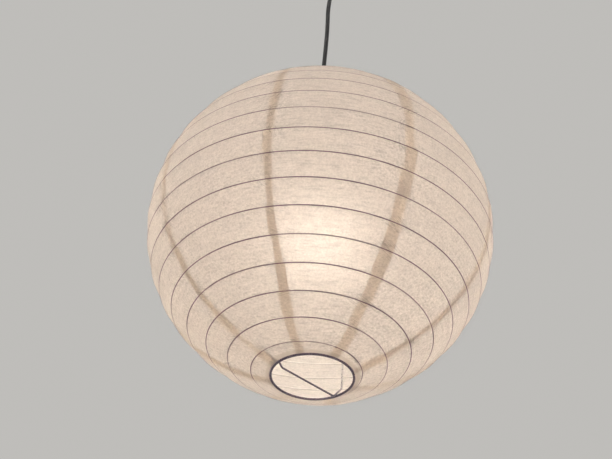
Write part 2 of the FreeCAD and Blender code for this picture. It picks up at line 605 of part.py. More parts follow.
def makeBulb():
    """Opal bulb, cap upwards: glass, screw cap, black insulator and end contact."""
    middle = "0 - bulb_drop - ceiling_drop"
    glass = doc.addObject("PartDesign::Body", "bulb_globe")
    sketch = newSketch(glass, "XZ_Plane", "glass_outline")
    radius, wall = size("globe_radius"), size("glass_wall")
    neck, rise = size("neck_radius"), size("neck_height")
    bend = (neck ** 2 + rise ** 2 - radius ** 2) / (2 * (radius - neck))
    hub = Vector(neck + bend, rise, 0)
    meet = math.atan2(hub.y, hub.x)
    up = Vector(0, 0, 1)

    def arc(centre, span, start, end):
        return sketch.addGeometry(Part.ArcOfCircle(Part.Circle(centre, up, span), start, end), False)

    ball = arc(Vector(), radius, -math.pi / 2, meet)
    throat = arc(hub, bend, math.pi, math.pi + meet)
    rim = sketch.addGeometry(Part.LineSegment(Vector(neck, rise, 0), Vector(neck - wall, rise, 0)), False)
    inner_throat = arc(hub, bend + wall, math.pi, math.pi + meet)
    inner_ball = arc(Vector(), radius - wall, -math.pi / 2, meet)
    pole = sketch.addGeometry(Part.LineSegment(Vector(0, wall - radius, 0), Vector(0, -radius, 0)), False)
    joins = [("Coincident", ball, 3, -1, 1), ("Coincident", inner_ball, 3, -1, 1),
             ("Tangent", ball, 2, throat, 2), ("Tangent", inner_ball, 2, inner_throat, 2),
             ("Coincident", throat, 1, rim, 1), ("Coincident", rim, 2, inner_throat, 1),
             ("Coincident", pole, 1, inner_ball, 1), ("Coincident", pole, 2, ball, 1),
             ("PointOnObject", ball, 1, -2), ("PointOnObject", inner_ball, 1, -2),
             ("Horizontal", throat, 3, throat, 1), ("Horizontal", inner_throat, 3, inner_throat, 1)]
    for join in joins:
        sketch.addConstraint(Sketcher.Constraint(*join))
    pinPoint(sketch, rim, 1, "neck_radius", "neck_height")
    pinPoint(sketch, rim, 2, "neck_radius - glass_wall", "neck_height")
    for item, words in ((ball, "globe_radius"), (inner_ball, "globe_radius - glass_wall")):
        number = sketch.addConstraint(Sketcher.Constraint("Radius", item, amount(words)))
        sketch.setExpression("Constraints[%d]" % number, bound(words))
    spin = glass.newObject("PartDesign::Revolution", "glass_turned")
    spin.Profile = sketch
    spin.ReferenceAxis = (sketch, ["V_Axis"])
    spin.Angle = 360
    glass.Tip = spin
    place(glass, middle)

    skin = "screw_cap_radius - shell_wall"
    lid = "screw_cap_height - shell_wall"
    cap = turnedBody("bulb_cap", [
        (skin, "0"), ("screw_cap_radius", "0"), ("screw_cap_radius", "screw_cap_height"),
        ("0", "screw_cap_height"), ("0", lid), (skin, lid)], middle + " + neck_height + part_line")
    cap_top = middle + " + neck_height + part_line + screw_cap_height"
    insulator = turnedBody("bulb_insulator", [
        ("0", "0"), ("insulator_radius", "0"), ("tip_radius", "insulator_height"), ("0", "insulator_height")],
        cap_top + " + part_line/2")
    tip = turnedBody("bulb_tip", [
        ("0", "0"), ("tip_radius", "0"), ("tip_radius/2", "tip_height"), ("0", "tip_height")],
        cap_top + " + insulator_height + part_line")
    return [glass, cap, insulator, tip]


def makeCord():
    """The taut cord, with a round end in the swivel ball."""
    foot = holder_rim + " + barrel_height + seat_gap + cap_height - cord_entry"
    hang = "cord_diameter/2 - swivel_depth " + opposite(foot)
    radius = "cord_diameter/2"
    cord = turnedBody("pendant_cord", [("0", "0"), (radius, "0"), (radius, hang), ("0", hang)],
                      foot)
    roundEdges(cord, "cord_end", radius + " - cord_bore_gap",
               lambda edge: isRing(edge, amount(radius), amount(hang)))
    return cord


# Shade, from its own middle; latitudes and turns in radians and whole turns
equator = size("shade_diameter") / 2
shade_middle = Vector(0, 0, -size("ceiling_drop"))


def underFace(latitude, depth=0.0):
    """Radius and height of a point that deep under the outer face of the paper."""
    sine, cosine = math.sin(latitude), math.cos(latitude)
    power = size("mouth_power")
    drawn = size("mouth_reach") * abs(sine) ** power
    rise = (size("shade_half_height") + (power + 1) * drawn) * cosine
    slope = Vector(-equator * sine, rise, 0).normalize()
    return (equator * cosine - depth * slope.y,
            (size("shade_half_height") + drawn) * sine + depth * slope.x)


def shadePoint(latitude, turn, depth):
    across, up = underFace(latitude, depth)
    azimuth = math.radians(size("seam_azimuth")) + 2 * math.pi * turn
    return Vector(across * math.cos(azimuth), across * math.sin(azimuth), up)


def latitudeAt(across):
    return math.acos(across / equator)


ring_height = underFace(latitudeAt(size("ring_radius")))[1]
paper_edge = size("ring_radius") + size("ring_wire") / 2 + size("mouth_gap")
rib_end = latitudeAt(paper_edge + size("rib_end_reach"))


def ribLatitude(turn):
    """The spiral runs from the top mouth at turn 0 to the bottom mouth at the last turn."""
    step = 1 - 2 * turn / size("rib_turns")
    bulge = 1 - step ** 2
    return rib_end * step * (1 + size("rib_spread") * bulge) + size("rib_lift") / equator * bulge


def formed(label, shape, placement):
    feature = doc.addObject("Part::Feature", label)
    feature.Shape = shape
    feature.Placement = placement
    return feature


def makeRings():
    rings = []
    for label, height in (("top_ring", ring_height), ("bottom_ring", -ring_height)):
        ring = doc.addObject("Part::Torus", label)
        tie(ring, "Radius1", "ring_radius")
        tie(ring, "Radius2", "ring_wire/2")
        ring.Placement = Placement(shade_middle + Vector(0, 0, height), Rotation())
        rings.append(ring)
    return rings


def sweptWire(spine, thickness):
    """A round wire along a smooth chain of edges."""
    first = spine[0]
    start = first.valueAt(first.FirstParameter)
    ahead = first.tangentAt(first.FirstParameter)
    section = Part.Wire(Part.makeCircle(thickness / 2, start, ahead))
    return Part.Wire(spine).makePipeShell([section], True, False)


def arcFrom(start, ahead, end):
    """The arc that leaves a point in a given direction and ends at another point."""
    chord = end - start
    along = Vector(chord).normalize()
    side = ahead - along * ahead.dot(along)
    lean_angle = math.atan2(side.Length, ahead.dot(along))
    middle = start + chord * 0.5 + side.normalize() * (chord.Length / 2 * math.tan(lean_angle / 2))
    return Part.Arc(start, middle, end).toShape()


def biarc(start, ahead, end, onward):
    """Two arcs that join two points and meet both directions."""
    span = end - start
    both = span.dot(ahead + onward)
    open_share = 2 * (1 - ahead.dot(onward))
    reach = (math.sqrt(both ** 2 + open_share * span.dot(span)) - both) / open_share
    meet = (start + end + (ahead - onward) * reach) * 0.5
    return [arcFrom(start, ahead, meet), arcFrom(end, onward * -1, meet)]


def makeRibs():
    """One unbroken rib, wound down the inside of the paper."""
    depth = size("paper_thickness") + size("rib_gap") + size("rib_wire") / 2

    def onRib(turn):
        return shadePoint(ribLatitude(turn), turn, depth)

    def heading(turn):
        return (onRib(turn + 1e-4) - onRib(turn - 1e-4)).normalize()

    quarters = int(4 * size("rib_turns"))
    stations = [n / 4 for n in range(quarters + 1)]
    spine = []
    for here, there in zip(stations, stations[1:]):
        spine += biarc(onRib(here), heading(here), onRib(there), heading(there))
    lead = heading(0) * size("rib_wire")
    tail = heading(stations[-1]) * size("rib_wire")
    spine.insert(0, Part.makeLine(onRib(0) - lead, onRib(0)))
    spine.append(Part.makeLine(onRib(stations[-1]), onRib(stations[-1]) + tail))
    samples = [onRib(n / 48) for n in range(12 * quarters + 1)]
    nearest = min((samples[n] - samples[m]).Length
                  for n in range(len(samples)) for m in range(n + 24, min(n + 73, len(samples))))
    print("rib: least gap between turns %.2f mm" % (nearest - size("rib_wire")))
    shape = sweptWire(Part.__sortEdges__(spine), size("rib_wire"))
    return formed("rib_spiral", shape, Placement(shade_middle, Rotation()))


def goreSolid(number):
    """One paper gore: a face drawn tight from rib to rib, whose first edge lies on the gore before it."""
    thick = size("paper_thickness")
    over = -thick - size("lap_gap")
    edge = latitudeAt(paper_edge)
    count = size("panel_count")
    rib_lines = int(size("rib_turns"))
    lines = []
    for line in range(rib_lines + 2):
        def latitude(turn):
            if line == 0:
                return edge
            if line > rib_lines:
                return -edge
            return ribLatitude(line - 1 + turn)

        def run(first, last, depth, steps):
            turns = [first + (last - first) * n / steps for n in range(steps + 1)]
            points = [shadePoint(latitude(turn), turn, depth) for turn in turns]
            if steps == 1:
                return Part.makeLine(points[0], points[1])
            curve = Part.BSplineCurve()
            curve.interpolate(points)
            return curve.toShape()

        def step(turn, last, depth_from, depth_to):
            return Part.makeLine(shadePoint(latitude(turn), turn, depth_from),
                                 shadePoint(latitude(last), last, depth_to))

        turn_length = 2 * math.pi * underFace(latitude((number + 0.5) / count))[0]
        half = size("lap_width") / 2 / turn_length
        left = number / count - half
        brow = number / count + half + size("lap_gap") / turn_length
        foot = brow + size("lap_joggle") / turn_length
        right = (number + 1) / count + half
        skins = [[run(left, brow, over + under, 2), step(brow, foot, over + under, under),
                  run(foot, right, under, 5)] for under in (0, thick)]
        sides = [step(left, left, over, over + thick), step(right, right, 0, thick)]
        lines.append(skins + [sides])
    faces = []
    for upper, lower in zip(lines, lines[1:]):
        for above, below in zip(upper, lower):
            faces += [Part.makeRuledSurface(one, other) for one, other in zip(above, below)]
    for rim in (lines[0], lines[-1]):
        faces += [Part.makeRuledSurface(one, other) for one, other in zip(rim[0], rim[1])]
    shell = Part.makeShell(faces)
    shell.sewShape()
    solid = Part.makeSolid(shell)
    if solid.Volume < 0:
        solid.reverse()
    return solid


def makePaper():
    return [formed("paper_panel_%d" % (n + 1), goreSolid(n), Placement(shade_middle, Rotation()))
            for n in range(int(size("panel_count")))]


def roundedPath(points, bends):
    """Straight runs joined by arcs of the given radii at the inner points."""
    edges = []
    here = points[0]
    for before, corner, after, bend in zip(points, points[1:], points[2:], bends):
        come = (before - corner).normalize()
        go = (after - corner).normalize()
        half = come.getAngle(go) / 2
        back = bend / math.tan(half)
        inward = (come + go).normalize()
        middle = corner + inward * (bend / math.sin(half) - bend)
        first, last = corner + come * back, corner + go * back
        edges += [Part.makeLine(here, first), Part.Arc(first, middle, last).toShape()]
        here = last
    edges.append(Part.makeLine(here, points[-1]))
    return edges


def makeStretcher():
    """One bent wire: hooks under the carrier, peaks in the top ring, crossbar below the bottom ring."""
    chord = math.sqrt(size("ring_radius") ** 2 - size("stretcher_offset") ** 2)
    slope = math.radians(size("shoulder_slope"))
    seen_ring = size("ring_wire") / 2 * size("ring_radius") / chord
    reach = seen_ring + size("stretcher_wire") / 2 + size("stretcher_seat")
    clear = reach + size("bar_drop") * math.cos(slope)
    bar = chord - clear / math.sin(slope)
    level = ring_height + size("bar_drop")
    leg = size("leg_half_spacing")
    elbow = level - (leg - bar) * math.tan(slope)
    ear = size("ear_spacing_half")
    plate = amount(holder_rim + " + ceiling_drop + barrel_thread_height - seat_gap - carrier_thickness")
    hook = plate - size("hook_drop")
    side = [(ear + size("hook_length"), hook), (ear, hook), (ear, plate + size("arm_rise")), (bar, level),
            (leg, elbow), (leg, -elbow), (bar, -level)]
    bent = ("hook_bend", "arm_bend", "peak_bend", "leg_bend", "leg_bend", "bar_bend")
    bends = [size(name) for name in bent]
    beside = size("stretcher_offset")
    points = [Vector(across, beside, up) for across, up in side]
    points += [Vector(-across, beside, up) for across, up in reversed(side)]
    shape = sweptWire(roundedPath(points, bends + bends[::-1]), size("stretcher_wire"))
    turn = Rotation(Vector(0, 0, 1), size("stretcher_azimuth"))
    return formed("stretcher_wire", shape, Placement(Vector(0, 0, -size("ceiling_drop")), turn))


pieces = [makeRoseBase(), makeRoseCover()]
pieces += makeSwivel()
pieces += makeTerminalBlock()
pieces += makeHolder()
pieces += makeClamp()
pieces += makeBulb()
pieces.append(makeCord())
pieces += makeRings()
pieces += [makeStretcher(), makeRibs()]
pieces += makePaper()
doc.recompute()

troubled = [thing.Label for thing in doc.Objects if "Invalid" in thing.State or "Error" in thing.State]
troubled += [piece.Label for piece in pieces if piece.Shape.isNull() or not piece.Shape.isValid()]
if troubled:
    raise RuntimeError("not sound: " + ", ".join(troubled))

os.makedirs("parts", exist_ok=True)
for piece in pieces:
    piece.Shape.exportStep("parts/%s.step" % piece.Label)
    print("%s %.1f mm3, %d solids" % (piece.Label, piece.Shape.Volume, len(piece.Shape.Solids)))
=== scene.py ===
import math

import bpy
from mathutils import Matrix, Vector


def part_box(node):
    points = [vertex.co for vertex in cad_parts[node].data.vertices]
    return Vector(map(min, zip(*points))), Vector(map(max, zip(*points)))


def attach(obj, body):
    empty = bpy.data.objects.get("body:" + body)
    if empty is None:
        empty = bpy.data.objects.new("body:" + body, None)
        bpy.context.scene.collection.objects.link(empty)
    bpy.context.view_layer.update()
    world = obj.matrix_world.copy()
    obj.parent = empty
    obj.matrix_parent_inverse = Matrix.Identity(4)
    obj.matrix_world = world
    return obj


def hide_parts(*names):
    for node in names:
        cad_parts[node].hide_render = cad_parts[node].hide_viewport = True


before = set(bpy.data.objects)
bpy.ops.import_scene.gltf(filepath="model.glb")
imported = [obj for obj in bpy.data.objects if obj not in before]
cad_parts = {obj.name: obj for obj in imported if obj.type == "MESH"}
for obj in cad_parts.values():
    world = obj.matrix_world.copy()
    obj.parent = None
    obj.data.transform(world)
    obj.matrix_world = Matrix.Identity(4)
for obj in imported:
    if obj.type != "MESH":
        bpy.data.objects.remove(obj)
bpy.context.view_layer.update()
print("frame loaded:", len(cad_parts), "nodes")

# The shade's own rule, in metres and radians from its middle, as the part's source has it
shade = {
    "middle": tuple((low + high) / 2 for low, high in zip(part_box("bottom_ring")[0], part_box("top_ring")[1])),
    "equator": 0.225,
    "halfHeight": 0.2161,
    "mouthReach": 0.010,  # how far the mouths are drawn out beyond the ellipse
    "mouthPower": 8.0,  # the higher, the nearer to the mouths that begins
    "edgeRadius": 0.05285,
    "turns": 18,
    "endLatitude": math.radians(75.99),
    "lift": math.radians(2.275),
    "spread": 0.0512,
    "seamAzimuth": math.radians(72.3),
}

photoCamera = {
    "focalPixels": 1626.2,
    "frame": (612, 459),
    "sensor": 36.0,
    "clip": (0.05, 60.0),
    "elevation": 37.399,
    "roll": 3.122,
    "distance": 2.1215,
    "middlePixel": (319.96, 235.44),
}


def placeCamera():
    look = photoCamera
    width, height = look["frame"]
    focal = look["focalPixels"]
    data = bpy.data.cameras.new("photoCamera")
    data.sensor_width = look["sensor"]
    data.lens = focal / width * look["sensor"]
    data.clip_start, data.clip_end = look["clip"]
    camera = bpy.data.objects.new("photoCamera", data)
    bpy.context.collection.objects.link(camera)
    tilt, roll = math.radians(look["elevation"]), math.radians(look["roll"])
    sight = Vector((0, math.cos(tilt), math.sin(tilt)))  # upwards, from in front and below
    side = Vector((1, 0, 0))
    lift = side.cross(sight)
    right = side * math.cos(roll) + lift * math.sin(roll)
    up = lift * math.cos(roll) - side * math.sin(roll)
    level = Matrix((right, up, -sight)).transposed()
    across, down = look["middlePixel"]
    toMiddle = Vector(((across - width / 2) / focal, (height / 2 - down) / focal, -1))
    swing = Vector((0, 0, -1)).rotation_difference(toMiddle.normalized()).to_matrix()
    eye = Vector(shade["middle"]) - sight * look["distance"]
    camera.matrix_world = Matrix.Translation(eye) @ (level @ swing.transposed()).to_4x4()
    bpy.context.scene.camera = camera


placeCamera()
print("camera placed")


# Node helpers; those down to scatter serve materials and geometry alike
def addNode(tree, kind, inputs=None, **settings):
    made = tree.nodes.new(kind)
    for name, value in settings.items():
        setattr(made, name, value)
    for name, value in (inputs or {}).items():
        socket = made.inputs[name]
        if isinstance(value, bpy.types.NodeSocket):
            tree.links.new(value, socket)
        else:
            socket.default_value = value
    return made


def maths(tree, operation, *values, clamp=False):
    sockets = dict(enumerate(values))
    return addNode(tree, "ShaderNodeMath", sockets, operation=operation, use_clamp=clamp).outputs[0]


def ramp(tree, value, fromLow, fromHigh, toLow=0.0, toHigh=1.0):
    ends = {"From Min": fromLow, "From Max": fromHigh, "To Min": toLow, "To Max": toHigh}
    return addNode(tree, "ShaderNodeMapRange", {"Value": value, **ends}).outputs["Result"]


def triple(tree, x, y, z):
    return addNode(tree, "ShaderNodeCombineXYZ", {"X": x, "Y": y, "Z": z}).outputs[0]


def apart(tree, place):
    return addNode(tree, "ShaderNodeSeparateXYZ", {0: place}).outputs


def noise(tree, place, scale, detail=3.0, rough=0.5):
    sockets = {"Vector": place, "Scale": scale, "Detail": detail, "Roughness": rough}
    return addNode(tree, "ShaderNodeTexNoise", sockets).outputs["Fac"]


def scatter(tree, place):  # a random value for each place
    return addNode(tree, "ShaderNodeTexWhiteNoise", {"Vector": place}).outputs["Value"]


def newMaterial(name):
    material = bpy.data.materials.new(name)
    material.use_nodes = True
    material.node_tree.nodes.clear()
    return material, material.node_tree


def finishMaterial(tree, shader):
    addNode(tree, "ShaderNodeOutputMaterial", {"Surface": shader})


def mapped(tree, place, scale, turn=(0, 0, 0)):
    sockets = {"Vector": place, "Scale": scale, "Rotation": turn}
    return addNode(tree, "ShaderNodeMapping", sockets).outputs["Vector"]


def objectCoords(tree, scale=(1, 1, 1), turn=(0, 0, 0)):
    return mapped(tree, addNode(tree, "ShaderNodeTexCoord").outputs["Object"], scale, turn)


def attribute(tree, label, kind="Fac"):
    return addNode(tree, "ShaderNodeAttribute", attribute_name=label).outputs[kind]


def blendColour(tree, factor, low, high, kind="MIX"):
    sockets = {0: factor, 6: low, 7: high}  # the mix node's sockets for colours
    return addNode(tree, "ShaderNodeMix", sockets, data_type="RGBA", blend_type=kind).outputs[2]


def tint(tree, colour, factor):
    return blendColour(tree, 1.0, colour, factor, "MULTIPLY")


def bumped(tree, height, strength, distance):
    sockets = {"Height": height, "Strength": strength, "Distance": distance}
    return addNode(tree, "ShaderNodeBump", sockets).outputs["Normal"]


def principled(tree, sockets):
    return addNode(tree, "ShaderNodeBsdfPrincipled", sockets).outputs[0]


def mixShader(tree, share, low, high):
    return addNode(tree, "ShaderNodeMixShader", {0: share, 1: low, 2: high}).outputs[0]


ribLook = {
    "radius": 0.00075,
    "depth": 0.00080,  # of the wire's middle under the paper's outer face
    "pointsPerTurn": 128,
    "sides": 8,
    "pitch": 0.033,
    "pasted": (0.80, 0.97),  # from no painted shade to full, by how squarely the wire's skin faces outwards
    "stainAndShadow": (0.36, 0.24, 0.37, 1),  # painted shadow of the wire, on the paper along it
}

# What both papers share. A noise has scale, detail and roughness, or scales in three directions and detail. A
# range is cut out of a noise, and its third and fourth number are what that becomes
pulpLook = {
    "hem": (0.57, 0.495, 0.42, 1),
    "ior": 1.5,
    "cloud": (110.0, 4.0, 0.7),
    "cloudRange": (0.35, 0.65),
    "grain": (400.0, 3.0, 0.6),
    "grainRange": (0.36, 0.64),
    "laid": ((45, 300, 1), 3.0),  # creases that run with the ribs: bumps, and painted shade in the light they pass
    "laidRange": (0.35, 0.65),
    "strand": ((40, 380, 380), 2.0),  # long fibres, lying three ways
    "strandTurns": ((0.3, 0.2, 0.1), (1.1, 0.5, 2.0), (2.2, 1.4, 0.6)),
    "strandRange": (0.58, 0.70),
    "weights": (0.20, 0.09, 0.10, 0.15),  # light held back by grain, cloud and strands, and painted shade of the laid creases
    "pleat": ((150, 42, 3), 2.0),  # drawn folds beside a lap, darkened as painted shade
    "pleatRange": (0.0, 0.035, 0.75, 0.0),
    "pleatShade": (0.12, 0.09, 0.07, 1),
    "paste": ((300, 40, 3), 3.0),  # drawn out along the lap
    "pasteMean": 0.96,
    "curl": ((190, 95, 5), 3.0),  # where the lap was pressed on a rib
    "curlRange": (0.01, 0.09, 1.0, 0.0),
    "rim": ((4, 70, 9), 2.0),  # dark pieces of the lap's two edges
    "rimRange": (0.46, 0.58, 0.0, 0.7),
    "rimReach": (0.41, 0.46),  # from the middle of the lap, as a share of its width
    # painted shade for the lap's creases; the same colour darkens pieces of its edges
    "creaseShadeColour": (0.20, 0.14, 0.10, 1),
    "lineReach": (0.0004, 0.0008, 1.0, 0.0),  # of the wire's painted shadow, in metres from the wire's middle
    "lineDarkness": (0.0, 0.5, 0.6, 1.0),
    "faceRange": (0.40, 0.95, 0.91, 1.0),  # the face's tone by the paper's density
    "relief": 0.5,
    "bump": 0.25,
    "bumpDepth": 0.0004,
}
paperLooks = {
    "shadePaper": {"through": (0.985, 0.90, 0.825, 1), "face": (0.95, 0.915, 0.895, 1), "share": 0.48,
                   "forward": 0.075, "roughness": 0.85, "streak": 0.0},
    "pastedPaper": {"through": (1.0, 0.895, 0.745, 1), "face": (0.95, 0.90, 0.84, 1), "share": 0.85,
                    "forward": 0.040, "roughness": 0.60, "streak": 1.3},
}


def makePaper(name):
    look = {**pulpLook, **paperLooks[name]}
    material, tree = newMaterial(name)
    place = objectCoords(tree)
    cut = attribute(tree, "cutPlace", "Vector")  # metres across and along a gore, and the gore's number
    labels = ("tucked", "hemmed", "lapShare", "ribStep", "pulled")
    tucked, hemmed, lapShare, step, pulled = (attribute(tree, label) for label in labels)

    def along(scale, detail):
        return noise(tree, mapped(tree, cut, scale), 1.0, detail)

    def fromHalf(value):
        return maths(tree, "ABSOLUTE", maths(tree, "SUBTRACT", value, 0.5))

    cloud = ramp(tree, noise(tree, place, *look["cloud"]), *look["cloudRange"])
    grain = ramp(tree, noise(tree, place, *look["grain"]), *look["grainRange"])
    laid = ramp(tree, along(*look["laid"]), *look["laidRange"])
    scale, detail = look["strand"]
    strands = 0.0
    for turn in look["strandTurns"]:
        thread = noise(tree, objectCoords(tree, scale, turn), 1.0, detail)
        strands = maths(tree, "MAXIMUM", strands, ramp(tree, thread, *look["strandRange"]))
    density = 1.0
    for layer, weight in zip((grain, cloud, laid, strands), look["weights"]):
        density = maths(tree, "MULTIPLY_ADD", layer, -weight, density)

    if look["streak"]:  # paste fills the pores; creases where the lap was pressed down get painted shade, and pieces of its edges are darkened
        uneven = maths(tree, "SUBTRACT", along(*look["paste"]), 0.5)
        paste = maths(tree, "MULTIPLY_ADD", uneven, look["streak"], look["pasteMean"], clamp=True)
        through = tint(tree, look["through"], paste)
        curl = ramp(tree, fromHalf(along(*look["curl"])), *look["curlRange"])
        shadedCrease = maths(tree, "MULTIPLY", curl, tucked)
        rim = ramp(tree, along(*look["rim"]), *look["rimRange"])
        rim = maths(tree, "MULTIPLY", ramp(tree, fromHalf(lapShare), *look["rimReach"]), rim)
        through = blendColour(tree, maths(tree, "MAXIMUM", shadedCrease, rim), through, look["creaseShadeColour"])
    else:
        through = tint(tree, look["through"], density)
        # painted shade in the folds drawn beside a lap
        pleat = ramp(tree, fromHalf(along(*look["pleat"])), *look["pleatRange"])
        pleat = maths(tree, "MULTIPLY", pleat, pulled)
        through = blendColour(tree, pleat, through, look["pleatShade"])
    through = blendColour(tree, hemmed, through, look["hem"])

    # painted shadow: a dark thread on the paper along each rib, darker in some bands than in others
    near = maths(tree, "ROUND", step)
    offset = maths(tree, "ABSOLUTE", maths(tree, "SUBTRACT", step, near))
    offset = maths(tree, "MULTIPLY", offset, ribLook["pitch"])
    bandDarkness = scatter(tree, triple(tree, near, apart(tree, cut)["Z"], 0.0))
    line = ramp(tree, offset, *look["lineReach"])
    line = maths(tree, "MULTIPLY", line, ramp(tree, bandDarkness, *look["lineDarkness"]))

    def ribShadowed(colour):
        return blendColour(tree, line, colour, tint(tree, colour, ribLook["stainAndShadow"]))

    pulp = tint(tree, look["face"], ramp(tree, density, *look["faceRange"]))
    relief = maths(tree, "MULTIPLY_ADD", strands, look["relief"], maths(tree, "ADD", grain, laid))
    bump = bumped(tree, relief, look["bump"], look["bumpDepth"])
    face = principled(tree, {
        "Base Color": ribShadowed(pulp), "Roughness": look["roughness"], "IOR": look["ior"],
        "Transmission Weight": look["forward"], "Normal": bump})
    glow = addNode(tree, "ShaderNodeBsdfTranslucent", {"Color": ribShadowed(through), "Normal": bump}).outputs[0]
    finishMaterial(tree, mixShader(tree, look["share"], face, glow))
    return material


# Lacquer, plastic, rubber and glaze: what they share, then each
coatLook = {
    "metal": 0.0,
    "scale": 300.0,
    "wear": (0.25, 5.0, 0.6),  # scale as a share of the coat's own, detail, roughness
    "wearRange": (0.45, 0.75),
    "grain": (4, 2.0),
    "bump": 0.3,
    "bumpDepth": 0.0002,
    "shine": (-0.08, 0.08),  # added to the roughness
}
lacquer = {"colour": (0.17, 0.135, 0.18, 1), "worn": (0.26, 0.22, 0.26, 1), "roughness": 0.28, "metal": 0.6}
coats = {
    "steelWire": lacquer,
    # the legs' wire has painted light: lighter higher up, where the bulb inside lights it
    "legWire": {**lacquer, "bulbLit": (0.72, 0.69, 0.70, 1), "rise": (0.010, 0.040), "lean": 0.25},
    # the rib wire is light, with painted shade on the side that lies against the paper
    "ribWire": {"colour": (0.93, 0.90, 0.86, 1), "worn": (0.97, 0.94, 0.90, 1), "roughness": 0.6,
                "paperSideShade": (0.16, 0.11, 0.15, 1)},
    "darkCord": {"colour": (0.030, 0.029, 0.029, 1), "worn": (0.055, 0.053, 0.052, 1), "roughness": 0.55,
                 "scale": 500.0, "bumpDepth": 0.0003},
    "blackShell": {"colour": (0.022, 0.022, 0.023, 1), "worn": (0.04, 0.04, 0.042, 1), "roughness": 0.38},
    "whiteShell": {"colour": (0.72, 0.70, 0.66, 1), "worn": (0.78, 0.76, 0.72, 1), "roughness": 0.42},
    "greyBlock": {"colour": (0.55, 0.55, 0.53, 1), "worn": (0.62, 0.62, 0.60, 1), "roughness": 0.5},
    "whiteGlaze": {"colour": (0.78, 0.77, 0.73, 1), "worn": (0.84, 0.83, 0.80, 1), "roughness": 0.2},
}


def makeCoated(name):
    look = {**coatLook, **coats[name]}
    material, tree = newMaterial(name)
    place = objectCoords(tree)
    share, *fine = look["wear"]
    wear = ramp(tree, noise(tree, place, look["scale"] * share, *fine), *look["wearRange"])
    colour = blendColour(tree, wear, look["colour"], look["worn"])
    if "paperSideShade" in look:  # painted shade: darker on the side that lies against the paper
        colour = blendColour(tree, attribute(tree, "paperSideShade"), colour, look["paperSideShade"])
    if "bulbLit" in look:  # painted light: lighter up the legs, where the bulb lights them, sooner towards +X
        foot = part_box("stretcher_wire")[0][2]
        spot = apart(tree, place)
        height = maths(tree, "MULTIPLY_ADD", spot["X"], look["lean"], spot["Z"])
        litUp = ramp(tree, height, *(foot + rise for rise in look["rise"]))
        colour = blendColour(tree, litUp, colour, look["bulbLit"])
    share, *fine = look["grain"]
    grain = noise(tree, place, look["scale"] * share, *fine)
    shine = ramp(tree, grain, 0.0, 1.0, *(look["roughness"] + more for more in look["shine"]))
    finishMaterial(tree, principled(tree, {
        "Base Color": colour, "Metallic": look["metal"], "Roughness": shine,
        "Normal": bumped(tree, grain, look["bump"], look["bumpDepth"])}))
    return material


metalLook = {
    # for the metals this is a stain in their own tone
    "stainAndShadow": (120.0, 5.0, 0.6),
    "lines": ((900, 900, 60), 2.0),
    "linesRange": (0.3, 0.7),
    "shine": (-0.08, 0.10),  # added to the roughness
}
metals = {
    "zincSteel": {"low": (0.50, 0.50, 0.51, 1), "high": (0.64, 0.64, 0.65, 1), "roughness": 0.34},
    "plainBrass": {"low": (0.62, 0.44, 0.17, 1), "high": (0.74, 0.56, 0.26, 1), "roughness": 0.30},
    "nickelCap": {"low": (0.60, 0.59, 0.57, 1), "high": (0.72, 0.71, 0.69, 1), "roughness": 0.28},
}


def makeMetal(name):
    look = {**metalLook, **metals[name]}
    material, tree = newMaterial(name)
    stainAndShadow = noise(tree, objectCoords(tree), *look["stainAndShadow"])
    scale, detail = look["lines"]
    lines = noise(tree, objectCoords(tree, scale), 1.0, detail)
    shine = (look["roughness"] + more for more in look["shine"])
    finishMaterial(tree, principled(tree, {
        "Base Color": blendColour(tree, stainAndShadow, look["low"], look["high"]), "Metallic": 1.0,
        "Roughness": ramp(tree, lines, *look["linesRange"], *shine)}))
    return material


bulbLook = {
    "glass": (0.92, 0.90, 0.86, 1),
    "roughness": 0.2,
    "colour": (1.0, 0.85, 0.70, 1),
    "veilColour": (1.0, 0.88, 0.74, 1),
    "veil": (60.0, 2.0),
    "strength": 40.0,
    "neck": 0.6,  # share of the strength that is left at the neck
    "fade": (0.35, 0.75),  # where it falls to that, as shares of the bulb's height
}


def makeOpal(name):
    look = bulbLook
    material, tree = newMaterial(name)
    place = objectCoords(tree)
    colour = blendColour(tree, noise(tree, place, *look["veil"]), look["colour"], look["veilColour"])
    low, high = (corner[2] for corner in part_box("bulb_globe"))
    fade = (low + share * (high - low) for share in look["fade"])
    glow = ramp(tree, apart(tree, place)["Z"], *fade, look["strength"], look["strength"] * look["neck"])
    finishMaterial(tree, principled(tree, {
        "Base Color": look["glass"], "Roughness": look["roughness"], "Emission Color": colour,
        "Emission Strength": glow}))
    return material


finishes = {"opalGlass": makeOpal("opalGlass")}
for names, make in ((paperLooks, makePaper), (coats, makeCoated), (metals, makeMetal)):
    finishes.update({name: make(name) for name in names})
print("finishes made")


# Geometry trees
def newTree(name, sizes):
    tree = bpy.data.node_groups.new(name, "GeometryNodeTree")
    tree.interface.new_socket("Geometry", in_out="OUTPUT", socket_type="NodeSocketGeometry")
    for label in sizes:
        tree.interface.new_socket(label, in_out="INPUT", socket_type="NodeSocketFloat")
    given = tree.nodes.new("NodeGroupInput").outputs
    return tree, {label: given[label] for label in sizes}


def store(tree, geometry, label, value, kind="FLOAT"):
    sockets = {"Geometry": geometry, "Name": label, "Value": value}
    made = addNode(tree, "GeometryNodeStoreNamedAttribute", sockets, data_type=kind, domain="POINT")
    return made.outputs[0]


def moved(tree, geometry, place):
    return addNode(tree, "GeometryNodeSetPosition", {"Geometry": geometry, "Position": place}).outputs[0]


def painted(tree, geometry, finish, where=True):
    sockets = {"Geometry": geometry, "Selection": where, "Material": finishes[finish]}
    return addNode(tree, "GeometryNodeSetMaterial", sockets).outputs[0]


